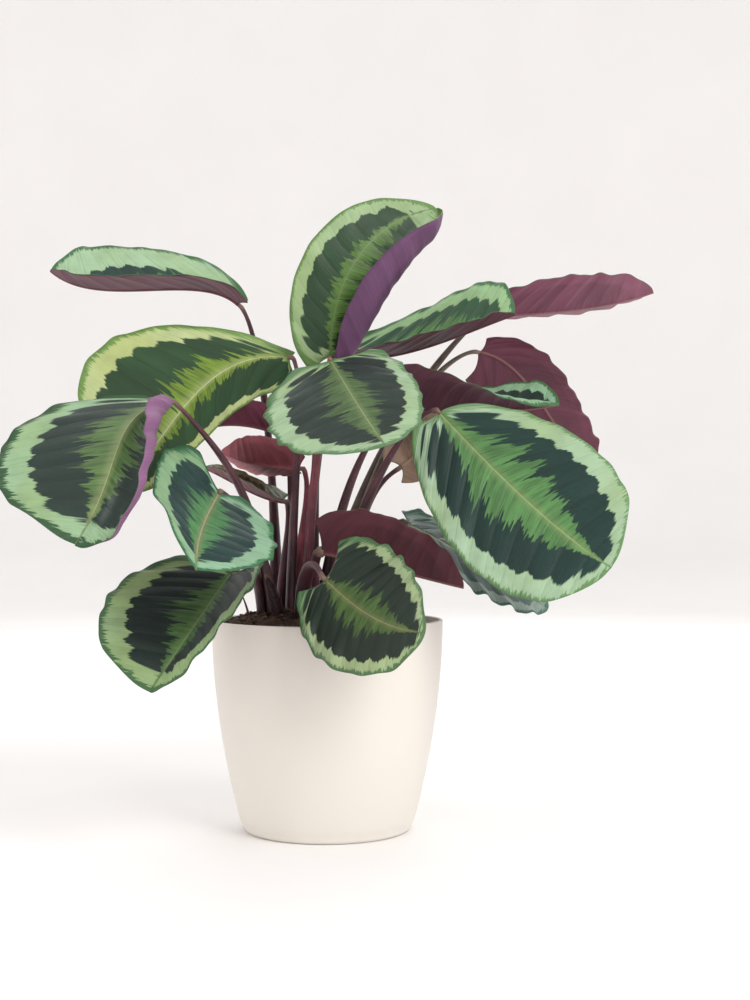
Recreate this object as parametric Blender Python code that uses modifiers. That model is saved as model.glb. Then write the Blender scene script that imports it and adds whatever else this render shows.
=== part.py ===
"""Potted calathea: a cream pot, its soil, and a clump of leaves on thin stalks.

Metres, +Z up. The origin is the middle of the pot's flat base, and -Y is the front.

Every leaf is a stalk and a blade. A blade is a thin surface hung on its midrib: the midrib is a
cubic curve through four points, and each half of the blade reaches out from it by a vector that
is given where the half is widest. A half may also curl about the midrib's direction.
"""

from math import cos, log, pi, radians, sin
from typing import NamedTuple

import bmesh
import bpy
from mathutils import Vector

# The pot is turned, and is narrower at its foot.
POT_HEIGHT = 0.200
POT_RIM_RADIUS = 0.1105
POT_FOOT_RADIUS = 0.0805
POT_FLARE = 1.9
POT_WALL = 0.0030
POT_FLOOR = 0.0060
POT_CORNER = 0.0050
POT_RIM_ROUNDING = 0.0012
TURN_STEPS = 48
WALL_RINGS = 9
MERGE_DISTANCE = 1e-5

# The soil fills the pot to just below its rim.
SOIL_LEVEL = 0.188
SOIL_CROWN = 0.008
SOIL_LUMP = 0.0012
SOIL_WAVES = (160, 140)
SOIL_RINGS = 6
SOIL_TOP_SHARES = (0.0, 0.25, 0.5, 0.75)
SOIL_TOP_REACH = 0.9
GAP = 0.0003

# Stalks stand in sockets in the soil, thicker at the foot.
ROOT_DEPTH = 0.018
STALK_FOOT_RADIUS = 0.0038
STALK_RADIUS = 0.0028
STALK_TOP_RADIUS = 0.0015
STALK_POINTS = 9
KNEE = 0.0030
STALK_END_GAP = 0.0009
SOCKET_RADIUS = 0.0046
SOCKET_SIDES = 10
SOCKET_TOP = 0.020
SHOOT_RADIUS = 0.0016

BLADE_THICKNESS = 0.0008
BLADE_ROWS = 10
HALF_COLUMNS = 4
ROLLED_COLUMNS = 9
ROLLED_FROM = 90

# The outline of a half blade: rounded at the base, with a short blunt point at the tip.
OUTLINE_POWER = 0.46
POINT_START = 0.86
POINT_PINCH = 0.25
END_WIDTH = 0.02
LOBE_START = 0.04

CREAM = (0.80, 0.76, 0.68)
EARTH = (0.022, 0.015, 0.010)
LEAF_GREEN = (0.06, 0.16, 0.07)
STALK_BROWN = (0.055, 0.022, 0.026)


class Leaf(NamedTuple):
    """One leaf. Spine runs from blade base to tip; left and right are the reaches of the halves."""
    spine: tuple
    left: tuple
    right: tuple
    root: tuple
    rise: tuple
    arrive: tuple
    widest: tuple = (0.5, 0.5)
    curl: tuple = ((0, 0), (0, 0))
    flat: tuple = (0.0, 0.0)
    turn: tuple = (0.6, 0.6)
    lobe: tuple = (0.10, 0.10)


# Seen from the front: numbers run from the top left leaf round to the low inner ones.
# Curl is in degrees at the base and the tip of each half; rise and arrive shape the stalk.
LEAVES = {
    "01": Leaf(
        spine=((-0.089, 0.060, 0.510), (-0.143, 0.050, 0.524), (-0.212, 0.040, 0.521),
               (-0.270, 0.030, 0.538)),
        left=(-0.001, -0.055, 0.006), right=(-0.014, 0.045, 0.051), widest=(0.50, 0.62),
        root=(-0.050, 0.052), rise=(-0.002, 0.030, 0.140), arrive=(-0.022, -0.005, 0.030)),
    "02": Leaf(
        spine=((-0.037, 0.000, 0.451), (-0.106, -0.030, 0.429), (-0.151, -0.065, 0.372),
               (-0.190, -0.090, 0.320)),
        left=(0.025, 0.020, -0.026), right=(-0.067, 0.032, 0.081), widest=(0.36, 0.71),
        turn=(0.9, 0.15),
        root=(-0.036, -0.004), rise=(0.004, -0.002, 0.150), arrive=(-0.012, 0.020, 0.024)),
    "03": Leaf(
        spine=((-0.138, -0.120, 0.399), (-0.168, -0.170, 0.376), (-0.179, -0.215, 0.332),
               (-0.202, -0.240, 0.276)),
        left=(0.029, 0.027, -0.045), right=(-0.101, 0.020, -0.001), curl=((260, 140), (0, 0)),
        widest=(0.50, 0.54),
        turn=(1.0, 0.6),
        lobe=(0.0, 0.10),
        root=(-0.062, -0.006), rise=(0.007, -0.020, 0.110), arrive=(-0.048, -0.024, 0.050)),
    "04": Leaf(
        spine=((-0.096, -0.110, 0.319), (-0.103, -0.150, 0.300), (-0.107, -0.190, 0.280),
               (-0.107, -0.220, 0.255)),
        left=(0.063, 0.000, -0.015), right=(-0.041, 0.030, 0.056), widest=(0.58, 0.42),
        lobe=(0.08, 0.14),
        root=(-0.050, -0.030), rise=(-0.006, -0.010, 0.080), arrive=(-0.016, -0.034, 0.010)),
    "05": Leaf(
        spine=((0.003, -0.045, 0.444), (0.018, -0.095, 0.414), (0.034, -0.130, 0.385),
               (0.050, -0.160, 0.359)),
        left=(0.058, 0.000, 0.012), right=(-0.078, 0.000, -0.024), widest=(0.36, 0.52),
        root=(-0.022, -0.016), rise=(0.006, 0.000, 0.150), arrive=(0.002, -0.022, 0.020)),
    "06": Leaf(
        spine=((0.003, -0.010, 0.450), (0.010, -0.020, 0.505), (0.042, -0.010, 0.562),
               (0.106, 0.020, 0.600)),
        left=(-0.047, 0.000, 0.009), right=(0.080, 0.024, -0.042), curl=((0, 0), (260, 150)),
        flat=(0.0, 0.2),
        root=(-0.022, 0.004), rise=(0.006, 0.000, 0.150), arrive=(0.002, 0.000, 0.040)),
    "07": Leaf(
        spine=((0.008, 0.045, 0.456), (0.070, 0.030, 0.458), (0.127, 0.015, 0.474),
               (0.181, 0.010, 0.494)),
        left=(0.030, 0.045, 0.060), right=(0.006, -0.050, 0.008), widest=(0.55, 0.25),
        root=(-0.016, 0.022), rise=(0.004, 0.002, 0.150), arrive=(0.016, -0.002, 0.026)),
    "08": Leaf(
        spine=((0.164, 0.100, 0.504), (0.222, 0.095, 0.508), (0.278, 0.090, 0.514),
               (0.332, 0.080, 0.527)),
        left=(0.009, 0.060, 0.004), right=(-0.005, -0.055, 0.027),
        root=(0.000, 0.038), rise=(0.020, 0.020, 0.150), arrive=(0.040, 0.010, 0.028)),
    "09": Leaf(
        spine=((0.074, 0.005, 0.401), (0.123, 0.000, 0.399), (0.173, -0.005, 0.400),
               (0.222, -0.010, 0.406)),
        left=(0.012, 0.050, 0.032), right=(-0.006, -0.030, 0.044), widest=(0.70, 0.25),
        curl=((0, 0), (20, -130)),
        root=(-0.006, 0.006), rise=(0.012, -0.008, 0.120), arrive=(0.030, 0.000, 0.015)),
    "10": Leaf(
        spine=((0.154, 0.080, 0.465), (0.200, 0.100, 0.440), (0.236, 0.115, 0.393),
               (0.272, 0.120, 0.347)),
        left=(-0.030, -0.010, -0.035), right=(0.040, 0.035, 0.016), widest=(0.35, 0.50),
        turn=(0.9, 0.3),
        root=(0.010, 0.028), rise=(0.032, 0.018, 0.200), arrive=(0.027, 0.010, 0.000)),
    "11": Leaf(
        spine=((0.104, -0.050, 0.395), (0.151, -0.080, 0.342), (0.199, -0.115, 0.293),
               (0.246, -0.150, 0.254)),
        left=(0.053, 0.012, 0.056), right=(-0.054, -0.019, -0.058), widest=(0.60, 0.55),
        lobe=(0.0, 0.10),
        root=(0.004, -0.004), rise=(0.016, -0.008, 0.100), arrive=(0.028, -0.014, 0.000)),
    "12": Leaf(
        spine=((0.076, 0.000, 0.292), (0.121, -0.010, 0.268), (0.167, -0.025, 0.238),
               (0.207, -0.040, 0.212)),
        left=(0.014, 0.045, 0.019), right=(-0.012, -0.045, -0.019),
        root=(0.009, 0.010), rise=(0.004, 0.004, 0.070), arrive=(0.034, 0.000, 0.012)),
    "13": Leaf(
        spine=((-0.005, -0.040, 0.264), (0.038, -0.050, 0.255), (0.081, -0.060, 0.244),
               (0.125, -0.070, 0.233)),
        left=(0.002, 0.035, 0.010), right=(0.001, -0.020, 0.048), widest=(0.50, 0.40),
        root=(-0.010, -0.018), rise=(-0.002, -0.004, 0.040), arrive=(0.006, -0.012, 0.016)),
    "14": Leaf(
        spine=((-0.002, -0.130, 0.243), (0.019, -0.150, 0.225), (0.046, -0.175, 0.209),
               (0.082, -0.190, 0.201)),
        left=(0.034, 0.010, 0.047), right=(-0.032, -0.010, -0.044), widest=(0.42, 0.50),
        lobe=(0.16, 0.16),
        root=(-0.024, -0.036), rise=(0.000, -0.010, 0.060), arrive=(0.008, -0.045, -0.019)),
    "15": Leaf(
        spine=((-0.086, -0.090, 0.248), (-0.102, -0.120, 0.225), (-0.123, -0.150, 0.192),
               (-0.151, -0.170, 0.150)),
        left=(0.029, -0.040, 0.002), right=(-0.080, 0.020, 0.020), widest=(0.30, 0.52),
        lobe=(0.16, 0.16),
        root=(-0.060, -0.022), rise=(-0.005, -0.010, 0.060), arrive=(-0.012, -0.035, -0.012)),
    "16": Leaf(
        spine=((-0.027, 0.020, 0.345), (-0.055, 0.030, 0.348), (-0.080, 0.042, 0.352),
               (-0.106, 0.050, 0.362)),
        left=(0.001, -0.030, 0.027), right=(-0.001, 0.030, -0.009),
        root=(-0.030, 0.026), rise=(-0.001, 0.004, 0.070), arrive=(-0.010, -0.006, 0.024)),
    "17": Leaf(
        spine=((-0.043, 0.030, 0.313), (-0.068, 0.020, 0.320), (-0.092, 0.010, 0.332),
               (-0.118, 0.000, 0.345)),
        left=(0.002, -0.035, 0.007), right=(0.003, 0.035, 0.014),
        root=(-0.046, 0.014), rise=(0.002, 0.004, 0.060), arrive=(-0.004, 0.006, 0.028)),
    "18": Leaf(
        spine=((0.072, 0.030, 0.347), (0.092, 0.045, 0.363), (0.116, 0.055, 0.380),
               (0.143, 0.060, 0.395)),
        left=(0.018, 0.000, -0.022), right=(-0.022, 0.000, 0.028), lobe=(0.20, 0.20),
        root=(0.018, 0.019), rise=(0.004, 0.004, 0.090), arrive=(0.028, 0.006, 0.016)),
    "19": Leaf(
        spine=((-0.049, 0.045, 0.381), (-0.081, 0.035, 0.388), (-0.112, 0.025, 0.386),
               (-0.139, 0.010, 0.371)),
        left=(0.002, -0.020, 0.026), right=(-0.003, 0.020, 0.010),
        root=(-0.036, 0.042), rise=(0.002, 0.017, 0.100), arrive=(-0.012, 0.000, 0.026)),
}

# Short dry sheaths stand round the crown, each a narrow blade rolled about its own length.
SHEATHS = {
    "01": ((-0.044, -0.042, 0.000), (-0.046, -0.044, 0.016), (-0.050, -0.046, 0.032),
           (-0.057, -0.050, 0.050)),
    "02": ((-0.026, -0.050, 0.000), (-0.025, -0.052, 0.014), (-0.022, -0.054, 0.028),
           (-0.017, -0.057, 0.043)),
    "03": ((0.008, -0.024, 0.000), (0.010, -0.025, 0.013), (0.014, -0.027, 0.026),
           (0.020, -0.030, 0.040)),
}
SHEATH_HALF_WIDTH = 0.0075
SHEATH_CURL = 75
SHOOT_FOOT = (-0.072, -0.030)
SHOOT_LEAN = (-0.008, -0.004, 0.034)


def clear_scene():
    for obj in list(bpy.data.objects):
        bpy.data.objects.remove(obj, do_unlink=True)


def new_collection(name):
    collection = bpy.data.collections.new(name)
    bpy.context.scene.collection.children.link(collection)
    return collection


def make_material(name, colour, roughness):
    material = bpy.data.materials.new(name)
    material.use_nodes = True
    shader = material.node_tree.nodes["Principled BSDF"]
    shader.inputs["Base Color"].default_value = (*colour, 1.0)
    shader.inputs["Roughness"].default_value = roughness
    shader.inputs["Metallic"].default_value = 0.0
    return material


def smoothstep(x):
    x = min(max(x, 0.0), 1.0)
    return x * x * (3 - 2 * x)


def curve_through(points, t):
    """Place and direction at t on the cubic that passes its four points at 0, 1/3, 2/3 and 1."""
    a, b, c, d = (Vector(p) for p in points)
    handle_1 = (-5 * a + 18 * b - 9 * c + 2 * d) / 6
    handle_2 = (2 * a - 9 * b + 18 * c - 5 * d) / 6
    return bezier(a, handle_1, handle_2, d, t)


def bezier(a, b, c, d, t):
    s = 1 - t
    place = s**3 * a + 3 * s * s * t * b + 3 * s * t * t * c + t**3 * d
    direction = 3 * s * s * (b - a) + 6 * s * t * (c - b) + 3 * t * t * (d - c)
    return place, direction.normalized()


def outline(u, widest):
    """Width of a half blade along its midrib, as a share of its greatest width."""
    x = u ** (log(0.5) / log(widest))
    width = max(4 * x * (1 - x), 0.0) ** OUTLINE_POWER
    pinch = smoothstep((u - POINT_START) / (1 - POINT_START))
    return max(width * (1 - POINT_PINCH * pinch), END_WIDTH)


def bend(q, flat, angle):
    """Across and up at share q of a half that lies flat at first and then turns by angle."""
    angle = angle if abs(angle) > 1e-3 else 1e-3
    turned = max(q - flat, 0.0) / (1 - flat)
    radius = (1 - flat) / angle
    return min(q, flat) + radius * sin(angle * turned), radius * (1 - cos(angle * turned))


def carry(side, start, direction, turn):
    """Side vector, turned part of the way from the start direction to this one."""
    turned = start.rotation_difference(direction).to_matrix() @ side
    return turned * turn + side * (1 - turn)


def blade_point(leaf, u, v):
    """Point of the upper face: u runs along the midrib, v from -1 at the left margin to 1."""
    place, direction = curve_through(leaf.spine, u)
    length = sum((Vector(b) - Vector(a)).length for a, b in zip(leaf.spine, leaf.spine[1:]))
    half = 1 if v > 0 else 0
    sign = 1 if v > 0 else -1
    q = abs(v)
    reach = Vector((leaf.left, leaf.right)[half])
    widest = leaf.widest[half]
    at_widest = curve_through(leaf.spine, widest)[1]
    along = reach.dot(at_widest)
    across = reach - along * at_widest
    side = carry(across.normalized(), at_widest, direction, leaf.turn[half])
    up = sign * side.cross(direction).normalized()
    curl_base, curl_tip = leaf.curl[half]
    angle = radians(curl_base + (curl_tip - curl_base) * u)
    out, lift = bend(q, leaf.flat[half], angle)
    width = outline(u, widest)
    lobe = leaf.lobe[half] * length * q**1.5 * (1 - u) ** 3 * min(u / LOBE_START, 1.0)
    return (place + direction * (along * q * width - lobe)
            + side * (out * across.length * width) + up * (lift * across.length * width))


def add_blade(name, leaf, collection, material):
    columns = [ROLLED_COLUMNS if max(curl) > ROLLED_FROM else HALF_COLUMNS for curl in leaf.curl]
    bm = bmesh.new()
    bmesh.ops.create_grid(bm, x_segments=BLADE_ROWS, y_segments=sum(columns), size=0.5)
    for vertex in bm.verts:
        u = (1 - cos(pi * (vertex.co.x + 0.5))) / 2
        column = round((vertex.co.y + 0.5) * sum(columns)) - columns[0]
        v = column / columns[1] if column > 0 else column / columns[0]
        vertex.co = blade_point(leaf, u, v)
    mesh = bpy.data.meshes.new(name)
    bm.to_mesh(mesh)
    bm.free()
    mesh.shade_smooth()
    mesh.materials.append(material)
    obj = bpy.data.objects.new(name, mesh)
    collection.objects.link(obj)
    thick = obj.modifiers.new("Thickness", "SOLIDIFY")
    thick.thickness = BLADE_THICKNESS
    thick.offset = -1.0
    return obj


def soil_height(x, y):
    """Height of the soil's lumpy top."""
    r = (x * x + y * y) ** 0.5 / POT_RIM_RADIUS
    lumps = SOIL_LUMP * sin(SOIL_WAVES[0] * x + 1.0) * sin(SOIL_WAVES[1] * y + 2.0)
    return SOIL_LEVEL + SOIL_CROWN * (1 - r * r) + lumps


def stalk_route(leaf):
    """The stalk's centre line: up out of its socket, a curve to the knee, and on to the blade."""
    base, direction = curve_through(leaf.spine, 0.0)
    end = base - direction * STALK_END_GAP
    knee = end - direction * KNEE
    foot = Vector((*leaf.root, soil_height(*leaf.root)))
    socket = foot - Vector((0, 0, ROOT_DEPTH))
    handle_1 = foot + Vector(leaf.rise)
    handle_2 = knee - Vector(leaf.arrive)
    steps = [i / (STALK_POINTS - 1) for i in range(STALK_POINTS)]
    return [socket] + [bezier(foot, handle_1, handle_2, knee, t)[0] for t in steps] + [end]


def add_stalk(name, leaf, collection, material):
    route = stalk_route(leaf)
    swell = STALK_FOOT_RADIUS - STALK_RADIUS
    radii = [STALK_FOOT_RADIUS]
    for i in range(STALK_POINTS):
        t = i / (STALK_POINTS - 1)
        radii.append(STALK_RADIUS + swell * (1 - t) ** 4 - (STALK_RADIUS - STALK_TOP_RADIUS) * t)
    radii.append(STALK_TOP_RADIUS)
    return add_tube(name, route, radii, collection, material)


def add_tube(name, route, radii, collection, material):
    curve = bpy.data.curves.new(name, "CURVE")
    curve.dimensions = "3D"
    curve.bevel_depth = STALK_RADIUS
    curve.bevel_resolution = 1
    curve.use_fill_caps = True
    spline = curve.splines.new("POLY")
    spline.points.add(len(route) - 1)
    for point, place, radius in zip(spline.points, route, radii):
        point.co = (*place, 1.0)
        point.radius = radius / STALK_RADIUS
    curve.materials.append(material)
    obj = bpy.data.objects.new(name, curve)
    collection.objects.link(obj)
    return obj


def add_sheath(name, points, collection, material):
    """A sheath's foot stands a gap above the soil."""
    lift = soil_height(*points[0][:2]) + 2 * GAP
    spine = tuple((x, y, z + lift) for x, y, z in points)
    sheath = Leaf(spine=spine, left=(-SHEATH_HALF_WIDTH, 0, 0), right=(SHEATH_HALF_WIDTH, 0, 0),
                  curl=((SHEATH_CURL, SHEATH_CURL),) * 2, widest=(0.3, 0.3), lobe=(0.0, 0.0),
                  root=(), rise=(), arrive=())
    return add_blade(name, sheath, collection, material)


def add_shoot(name, collection, material):
    """A young rolled leaf: a bare spike that stands in the soil."""
    foot = Vector((*SHOOT_FOOT, soil_height(*SHOOT_FOOT)))
    tip = foot + Vector(SHOOT_LEAN)
    route = [foot - Vector((0, 0, ROOT_DEPTH)), foot, foot.lerp(tip, 0.5), tip]
    radii = (SHOOT_RADIUS, SHOOT_RADIUS, 0.75 * SHOOT_RADIUS, 0.25 * SHOOT_RADIUS)
    return add_tube(name, route, radii, collection, material)


def pot_radius(z):
    """Outer radius of the pot at height z: the flare fades out towards the rim."""
    rise = 1 - (1 - z / POT_HEIGHT) ** POT_FLARE
    return POT_FOOT_RADIUS + (POT_RIM_RADIUS - POT_FOOT_RADIUS) * rise


def arc_points(centre, radius, start, end, count):
    """Points along an arc in the profile plane, from start to end in degrees."""
    angles = [radians(start + (end - start) * i / (count - 1)) for i in range(count)]
    return [(centre[0] + radius * cos(a), centre[1] + radius * sin(a)) for a in angles]


def add_turned(name, profile, collection, material):
    """Spin a profile of (radius, height) points, listed from the top axis down the outside."""
    bm = bmesh.new()
    vertices = [bm.verts.new((r, 0.0, z)) for r, z in profile]
    for a, b in zip(vertices, vertices[1:]):
        bm.edges.new((a, b))
    mesh = bpy.data.meshes.new(name)
    bm.to_mesh(mesh)
    bm.free()
    mesh.materials.append(material)
    obj = bpy.data.objects.new(name, mesh)
    collection.objects.link(obj)
    screw = obj.modifiers.new("Turn", "SCREW")
    screw.steps = TURN_STEPS
    screw.render_steps = TURN_STEPS
    screw.use_merge_vertices = True
    screw.merge_threshold = MERGE_DISTANCE
    return obj


def add_pot(collection, material):
    heights = [POT_HEIGHT * i / WALL_RINGS for i in range(1, WALL_RINGS)]
    inner_top = POT_RIM_RADIUS - POT_WALL
    floor_radius = pot_radius(POT_FLOOR) - POT_WALL
    rim = POT_RIM_ROUNDING
    inside = [(0.0, POT_FLOOR), (floor_radius, POT_FLOOR)]
    inside += [(pot_radius(z) - POT_WALL, z) for z in heights]
    lip = arc_points((inner_top + rim, POT_HEIGHT - rim), rim, 180, 90, 3)
    lip += arc_points((POT_RIM_RADIUS - rim, POT_HEIGHT - rim), rim, 90, 0, 3)
    outside = [(pot_radius(z), z) for z in reversed(heights)]
    corner = arc_points((POT_FOOT_RADIUS - POT_CORNER, POT_CORNER), POT_CORNER, 0, -90, 4)
    return add_turned("pot", inside + lip + outside + corner + [(0.0, 0.0)], collection, material)


def add_soil(collection, cutters, material):
    """The soil plug, a gap inside the pot, with a lumpy top and a socket for every stalk."""
    inset = POT_WALL + GAP
    base = POT_FLOOR + GAP
    levels = [base + (SOIL_LEVEL - base) * i / SOIL_RINGS for i in range(SOIL_RINGS + 1)]
    top = [(POT_RIM_RADIUS * share, SOIL_LEVEL) for share in SOIL_TOP_SHARES]
    side = [(pot_radius(z) - inset, z) for z in reversed(levels)]
    soil = add_turned("soil", top + side + [(0.0, base)], collection, material)
    depsgraph = bpy.context.evaluated_depsgraph_get()
    turned = bpy.data.meshes.new_from_object(soil.evaluated_get(depsgraph))
    soil.modifiers.clear()
    soil.data = turned
    inner = POT_RIM_RADIUS * SOIL_TOP_REACH
    for vertex in turned.vertices:
        x, y, z = vertex.co
        if z > SOIL_LEVEL - GAP and (x * x + y * y) ** 0.5 < inner:
            vertex.co.z = soil_height(x, y)
    bm = bmesh.new()
    for x, y in [leaf.root for leaf in LEAVES.values()] + [SHOOT_FOOT]:
        bottom = soil_height(x, y) - ROOT_DEPTH - GAP
        top_z = SOIL_LEVEL + SOCKET_TOP
        made = bmesh.ops.create_cone(bm, cap_ends=True, segments=SOCKET_SIDES, depth=top_z - bottom,
                                     radius1=SOCKET_RADIUS, radius2=SOCKET_RADIUS)
        bmesh.ops.translate(bm, verts=made["verts"], vec=(x, y, (top_z + bottom) / 2))
    mesh = bpy.data.meshes.new("sockets")
    bm.to_mesh(mesh)
    bm.free()
    sockets = bpy.data.objects.new("sockets", mesh)
    cutters.objects.link(sockets)
    sockets.hide_render = True
    sockets.display_type = "WIRE"
    cut = soil.modifiers.new("Sockets", "BOOLEAN")
    cut.operation = "DIFFERENCE"
    cut.object = sockets
    return soil


def main():
    clear_scene()
    parts = new_collection("potted_calathea")
    cutters = new_collection("cutters")
    add_pot(parts, make_material("cream_plastic", CREAM, 0.5))
    add_soil(parts, cutters, make_material("earth", EARTH, 0.95))
    green = make_material("leaf", LEAF_GREEN, 0.4)
    brown = make_material("stalk", STALK_BROWN, 0.5)
    for number, leaf in LEAVES.items():
        add_stalk(f"leaf_stalk_{number}", leaf, parts, brown)
        add_blade(f"leaf_blade_{number}", leaf, parts, green)
    for number, points in SHEATHS.items():
        add_sheath(f"basal_sheath_{number}", points, parts, brown)
    add_shoot("young_shoot", parts, brown)


main()
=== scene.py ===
"""Looks of the potted calathea: pot, soil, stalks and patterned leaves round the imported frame.

Metres, +Z up, -Y towards the front. The leaf table and the blade formulas are those of the
construction. Here each blade gets its wavy margin, quilted veins, midrib and painted pattern.
"""

from math import cos, log, pi, radians, sin
from random import Random
from typing import NamedTuple

import bpy
import numpy as np
from mathutils import Matrix, Vector, noise

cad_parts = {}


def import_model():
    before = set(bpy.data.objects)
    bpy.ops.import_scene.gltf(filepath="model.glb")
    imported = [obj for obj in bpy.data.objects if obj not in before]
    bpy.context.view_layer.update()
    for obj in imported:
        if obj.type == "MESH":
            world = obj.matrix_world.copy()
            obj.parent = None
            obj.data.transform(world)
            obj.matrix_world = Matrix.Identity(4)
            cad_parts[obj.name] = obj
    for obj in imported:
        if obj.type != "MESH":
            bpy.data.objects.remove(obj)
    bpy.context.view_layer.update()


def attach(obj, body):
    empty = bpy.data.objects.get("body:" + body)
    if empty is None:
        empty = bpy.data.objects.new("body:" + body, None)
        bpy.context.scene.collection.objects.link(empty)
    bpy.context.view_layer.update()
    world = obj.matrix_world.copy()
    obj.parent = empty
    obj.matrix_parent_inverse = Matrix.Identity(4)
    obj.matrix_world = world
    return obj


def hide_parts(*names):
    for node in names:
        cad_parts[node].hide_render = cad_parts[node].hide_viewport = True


POT_HEIGHT = 0.200
POT_RIM_RADIUS = 0.1105
POT_FOOT_RADIUS = 0.0805
POT_FLARE = 1.9
POT_WALL = 0.0030
POT_FLOOR = 0.0060
POT_CORNER = 0.0050
POT_RIM_ROUNDING = 0.0012

POT_SIDES = 160
POT_RINGS = 40
POT_FILLET = 0.003
POT_FLOOR_EDGE = 0.004

SOIL_LEVEL = 0.188
SOIL_CROWN = 0.008
SOIL_LUMP = 0.0012
SOIL_WAVES = (160, 140)
SOIL_SIDES = 144
SOIL_RINGS = 12
SOIL_TOP_RINGS = 46
SOIL_BEVEL = 0.003
GAP = 0.0003
ROOT_DEPTH = 0.018

# The drawn soil is heaped round the foot of the clump, and crumbly.
MOUND_CENTRE = (-0.050, -0.020)
MOUND_RADIUS = 0.110
MOUND_HEIGHT = 0.0150
CRUMB_HEIGHT = 0.0022
CRUMB_SCALE = 190.0
CRUMB_OCTAVES = (0.8, 2.1, 4)
GRAINS = 1500
GRAIN_MARGIN = 0.004
GRAIN_SMALLEST = 0.0010
GRAIN_SPREAD = 0.0022
GRAIN_TILT = 0.8
GRAIN_STRETCH = ((0.8, 1.7), (0.6, 1.1), (0.5, 0.9))
GRAIN_ROUGHNESS = (0.8, 1.15)
GRAIN_LIFT = 0.25
GRAIN_SEED = 11

# A grain is an icosahedron, later stretched and roughened.
GRAIN_CORNERS = (
    (0, 0, 1), (0.9, 0, 0.4), (0.28, 0.86, 0.4), (-0.73, 0.53, 0.4), (-0.73, -0.53, 0.4),
    (0.28, -0.86, 0.4), (0.73, 0.53, -0.4), (-0.28, 0.86, -0.4), (-0.9, 0, -0.4),
    (-0.28, -0.86, -0.4), (0.73, -0.53, -0.4), (0, 0, -1))
GRAIN_FACES = (
    (0, 1, 2), (0, 2, 3), (0, 3, 4), (0, 4, 5), (0, 5, 1), (1, 6, 2), (2, 7, 3), (3, 8, 4),
    (4, 9, 5), (5, 10, 1), (2, 6, 7), (3, 7, 8), (4, 8, 9), (5, 9, 10), (1, 10, 6),
    (11, 7, 6), (11, 8, 7), (11, 9, 8), (11, 10, 9), (11, 6, 10))

# A stalk is thin at its blade, with a small bulge at the knee, and widens towards its foot into
# a flat sheath.
STALK_STEPS = 44
KNEE = 0.0040
STALK_SEAT = 0.0015
STALK_RADIUS = 0.0018
STALK_BODY_SWELL = 0.0016
STALK_BODY_REACH = 0.10
STALK_SHEATH_SWELL = 0.0016
STALK_SHEATH_REACH = 0.215
KNEE_BULGE = 0.0006
KNEE_BULGE_REACH = 0.018
KNEE_BULGE_END = 0.003
STALK_FLATNESS = 1.10
SHEATH_FLATNESS = 0.65
TUBE_SIDES = 14

# The outline of a half blade: rounded at the base, with a short blunt point at the tip.
OUTLINE_POWER = 0.46
POINT_START = 0.86
POINT_PINCH = 0.25
END_WIDTH = 0.02
LOBE_START = 0.04

BLADE_ROWS = 120
HALF_COLUMNS = 24
ROLLED_COLUMNS = 34
ROLLED_FROM = 90
MIDRIB_CROWDING = 1.5
BLADE_THICKNESS = 0.0006
BLADE_RIDGE = 0.0013
SHEATH_RIDGE = 0.0006
RIDGE_SPREAD = 1.3
RIDGE_THINNING = 0.8
GROOVE_DEPTH = 0.0005
GROOVE_WIDTH = 0.0016
QUILT_HEIGHT = 0.0007
VEINS = 9
VEIN_SWEEP = 0.30
VEIN_POWER = 1.25
PATTERN_LEAN = 0.4

# The bake map: the upper face lies in its left half, the lower face in its right half, and the
# edge is a strip outside the upper face.
BAKE_MIDDLE = 0.25
BAKE_HALF_WIDTH = 0.23
BAKE_MARGIN = 0.02
BAKE_RIM = 0.006

# Colours are screen values from 0 to 255.
BAND_GREY = (176, 184, 168)
OLIVE_TINT = (0.95, 0.94, 0.84)
UNDER_RIB = (150, 130, 96)
KNEE_TAN = (150, 128, 104)
HUSK = (44, 28, 32)
SHOOT = (70, 44, 44)
POT_LIGHT = (233, 228, 219)
POT_SHADE = (230, 225, 217)
POT_SPECK = (214, 204, 184)
PEAT = ((42, 33, 27), (86, 67, 54))
BARK = ((40, 31, 25), (106, 82, 64))
FIBRE = (96, 74, 54)
FLOOR = ((247, 245, 244), (250, 248, 247))

FLOOR_RINGS = (0.6, 1.5, 2.4)
STUDIO_WALL = 5.0
STUDIO_BEND = 1.6
STUDIO_TOP = 3.2
STUDIO_SIDES = 96
AIR_COLOUR = (1.0, 0.995, 0.99, 1.0)
AIR_STRENGTH = 0.82
# Name, place, size, power and colour of each soft light.
LIGHTS = (("key", (1.7, -2.2, 2.3), 1.6, 54.0, (1.0, 0.99, 0.975)),
          ("fill", (-2.4, -1.2, 1.6), 2.0, 10.0, (1.0, 0.97, 0.94)),
          ("back", (0.3, 2.4, 2.2), 2.0, 22.0, (0.97, 0.99, 1.0)))
LIGHT_TARGET = (0, 0, 0.3)
CAMERA_SENSOR = 36.0
CAMERA_LENS = 55.84
CAMERA_PLACE = (0.0, -1.49, 0.298)
CAMERA_ANGLES = (90.62, 0.0, -1.754)


class Leaf(NamedTuple):
    """One leaf. Spine runs from blade base to tip, left and right are the reaches of the halves.

    Root is the stalk's foot on the soil, rise and arrive are the handles at its two ends. Each
    half has its widest place, its curl in degrees at the base and the tip, the share that stays
    flat before the curl, how far its side follows the midrib's turn, and its lobe at the base.
    """
    spine: tuple
    left: tuple
    right: tuple
    root: tuple
    rise: tuple
    arrive: tuple
    widest: tuple = (0.5, 0.5)
    curl: tuple = ((0, 0), (0, 0))
    flat: tuple = (0.0, 0.0)
    turn: tuple = (0.6, 0.6)
    lobe: tuple = (0.10, 0.10)


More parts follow.
